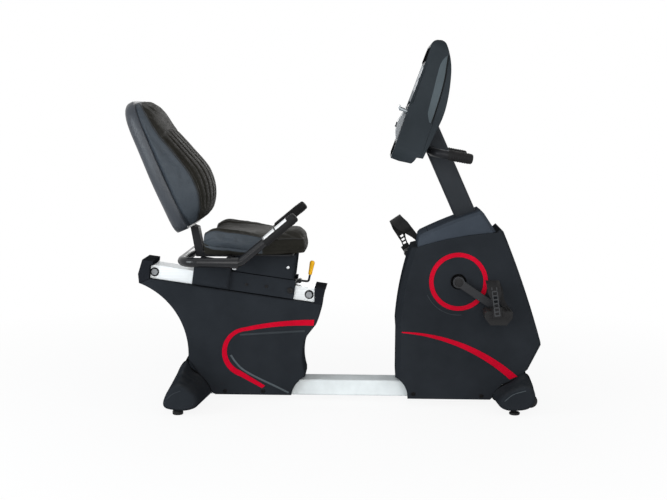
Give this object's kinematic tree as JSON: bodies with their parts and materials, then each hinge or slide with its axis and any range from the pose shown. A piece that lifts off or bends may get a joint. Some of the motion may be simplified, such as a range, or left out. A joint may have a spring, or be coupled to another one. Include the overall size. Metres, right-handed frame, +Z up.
{
  "type": "recumbent exercise bike",
  "caption": "Recumbent exercise bike: padded seat and backrest sliding on a sloping rail, low base rail, shrouded belt drive with pedals, leaning mast and console.",
  "frame": {"origin": "on the floor under the middle of the bike's bounding box", "axes": "+X from the seat towards the console, -Y the rider's right side, +Z up"},
  "size_m": [1.4884, 0.608, 1.3119],
  "materials": {
    "silver_paint": "satin",
    "rail_aluminium": "satin",
    "black_paint": "satin",
    "charcoal_plastic": "fine texture",
    "cover_plastic": "fine texture",
    "black_plastic": "matte",
    "red_plastic": "gloss",
    "black_vinyl": "grained vinyl over foam",
    "black_rubber": "matte",
    "bright_steel": "brushed",
    "pulse_steel": "brushed",
    "flywheel_iron": "machined",
    "yellow_plastic": "gloss",
    "display_panel": "gloss",
    "panel_plastic": "matte",
    "button_plastic": "matte"
  },
  "bodies": {
    "frame": {"base_rail": "silver_paint", "rear_stabilizer": "black_paint", "front_stabilizer": "black_paint", "rear_foot_covers": "charcoal_plastic", "front_foot_covers": "charcoal_plastic", "rear_frame": "black_paint", "seat_rail": "rail_aluminium", "rail_bolts": "bright_steel", "rail_cap_rear": "charcoal_plastic", "rail_cap_front": "charcoal_plastic", "rear_shroud_right": "charcoal_plastic", "rear_shroud_left": "charcoal_plastic", "front_shroud_right": "charcoal_plastic", "front_shroud_left": "charcoal_plastic", "mast": "black_paint", "top_cover": "cover_plastic", "red_trims": "red_plastic", "shroud_screws": "bright_steel", "front_frame": "black_paint", "drive_bearings": "bright_steel", "drive_belt": "black_rubber", "brake_servo": "black_plastic", "console_front_shell": "cover_plastic", "console_rear_shell": "cover_plastic", "display_window": "display_panel", "control_panel": "panel_plastic", "front_handlebar": "black_paint", "front_grips": "black_rubber"},
    "rear_right_leveller": {"rear_foot_right": "black_rubber"},
    "rear_left_leveller": {"rear_foot_left": "black_rubber"},
    "front_right_leveller": {"front_foot_right": "black_rubber"},
    "front_left_leveller": {"front_foot_left": "black_rubber"},
    "right_wheel": {"transport_wheel_right": "black_plastic"},
    "left_wheel": {"transport_wheel_left": "black_plastic"},
    "crankset": {"crank_axle": "bright_steel", "drive_pulley": "black_plastic", "right_crank": "black_paint", "left_crank": "black_paint"},
    "right_pedal_set": {"right_pedal": "black_plastic", "right_pedal_strap": "black_rubber"},
    "left_pedal_set": {"left_pedal": "black_plastic", "left_pedal_strap": "black_rubber"},
    "flywheel_body": {"flywheel": "flywheel_iron"},
    "idler": {"idler_pulley": "black_plastic"},
    "brake": {"brake_arm": "black_paint"},
    "seat": {"seat_carriage": "black_paint", "rail_glides": "black_plastic", "carriage_covers": "charcoal_plastic", "seat_base_cover": "charcoal_plastic", "seat_cushion": "black_vinyl", "backrest_shell": "charcoal_plastic", "backrest_cushion": "black_vinyl", "seat_handlebar": "black_paint", "handle_grips": "black_rubber", "pulse_plates": "pulse_steel"},
    "release_lever": {"seat_lever": "bright_steel", "lever_grip": "yellow_plastic"},
    "start_key": {"start_button": "button_plastic"},
    "level_up_key": {"level_up_button": "button_plastic"},
    "level_down_key": {"level_down_button": "button_plastic"}
  },
  "joints": [
    {"name": "flywheel_spin", "type": "hinge", "parent": "frame", "child": "flywheel_body", "pos_m": [0.6, 0, 0.235], "axis": [0, 1, 0], "continuous": true},
    {"name": "crank_spin", "type": "hinge", "parent": "frame", "child": "crankset", "pos_m": [0.441, 0, 0.46], "axis": [0, 1, 0], "continuous": true},
    {"name": "right_pedal_spin", "type": "hinge", "parent": "crankset", "child": "right_pedal_set", "pos_m": [0.58194, -0.2, 0.36494], "axis": [0, 1, 0], "continuous": true},
    {"name": "left_pedal_spin", "type": "hinge", "parent": "crankset", "child": "left_pedal_set", "pos_m": [0.30006, 0.2, 0.55506], "axis": [0, 1, 0], "continuous": true},
    {"name": "idler_spin", "type": "hinge", "parent": "frame", "child": "idler", "pos_m": [0.47123, 0, 0.2562], "axis": [0, 1, 0], "continuous": true},
    {"name": "brake_swing", "type": "hinge", "parent": "frame", "child": "brake", "pos_m": [0.508, 0, 0.386], "axis": [0, -1, 0], "range_deg": [0, 6]},
    {"name": "seat_slide", "type": "slide", "parent": "frame", "child": "seat", "axis": [0.9903, 0, -0.1392], "range_m": [-0.12, 0.02]},
    {"name": "release_lever_pull", "type": "hinge", "parent": "seat", "child": "release_lever", "pos_m": [-0.13548, 0, 0.44321], "axis": [0, -1, 0], "range_deg": [0, 20], "stiffness_Nm_per_rad": 0.8},
    {"name": "right_wheel_spin", "type": "hinge", "parent": "frame", "child": "right_wheel", "pos_m": [0.693, -0.222, 0.054], "axis": [0, 1, 0], "continuous": true},
    {"name": "left_wheel_spin", "type": "hinge", "parent": "frame", "child": "left_wheel", "pos_m": [0.693, 0.222, 0.054], "axis": [0, 1, 0], "continuous": true},
    {"name": "start_press", "type": "slide", "parent": "frame", "child": "start_key", "axis": [0.9373, 0, -0.3486], "range_m": [0, 0.002], "stiffness_N_per_m": 400},
    {"name": "level_up_press", "type": "slide", "parent": "frame", "child": "level_up_key", "axis": [0.9373, 0, -0.3486], "range_m": [0, 0.002], "stiffness_N_per_m": 400},
    {"name": "level_down_press", "type": "slide", "parent": "frame", "child": "level_down_key", "axis": [0.9373, 0, -0.3486], "range_m": [0, 0.002], "stiffness_N_per_m": 400},
    {"name": "rear_right_level", "type": "hinge", "parent": "frame", "child": "rear_right_leveller", "pos_m": [-0.55, -0.262, 0.02], "axis": [0, 0, 1], "continuous": true},
    {"name": "rear_left_level", "type": "hinge", "parent": "frame", "child": "rear_left_leveller", "pos_m": [-0.55, 0.262, 0.02], "axis": [0, 0, 1], "continuous": true},
    {"name": "front_right_level", "type": "hinge", "parent": "frame", "child": "front_right_leveller", "pos_m": [0.64, -0.205, 0.02], "axis": [0, 0, 1], "continuous": true},
    {"name": "front_left_level", "type": "hinge", "parent": "frame", "child": "front_left_leveller", "pos_m": [0.64, 0.205, 0.02], "axis": [0, 0, 1], "continuous": true}
  ],
  "couplings": [
    {"joint": "crank_spin", "follows": "flywheel_spin", "ratio": 0.13732},
    {"joint": "idler_spin", "follows": "flywheel_spin", "ratio": -0.88636}
  ]
}
